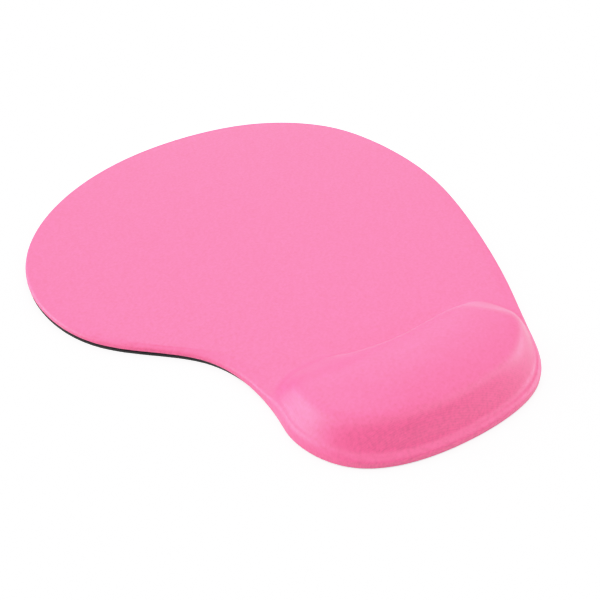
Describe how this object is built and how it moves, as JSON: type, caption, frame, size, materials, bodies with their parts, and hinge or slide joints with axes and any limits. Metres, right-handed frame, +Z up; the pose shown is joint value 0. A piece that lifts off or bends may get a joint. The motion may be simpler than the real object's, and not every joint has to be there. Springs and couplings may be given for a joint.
{
  "type": "mouse mat with wrist rest",
  "caption": "Thin kidney-shaped fabric mouse mat with a raised gel wrist cushion under the same knitted cover, on a non-slip rubber sheet.",
  "frame": {"origin": "centre of the footprint's bounding box, on the desk plane under the mat", "axes": "+Z up from the desk; +Y away from the user, from the wrist cushion to the far edge; +X to the user's right"},
  "size_m": [0.1928, 0.2304, 0.02],
  "materials": {
    "knit_cover": "fine stretch knit, soft matt with a pale sheen at grazing angles",
    "foam": "fine closed-cell foam, matt",
    "rubber_base": "matt black rubber, with a fine raised grip texture underneath",
    "film": "clear flexible film, glossy",
    "gel": "clear soft gel"
  },
  "bodies": {
    "root": {"fabric_cover": "knit_cover", "foam_sheet": "foam", "nonslip_base": "rubber_base", "gel_pouch_dome": "film", "gel_pouch_backing": "film", "gel_core": "gel"}
  },
  "joints": []
}
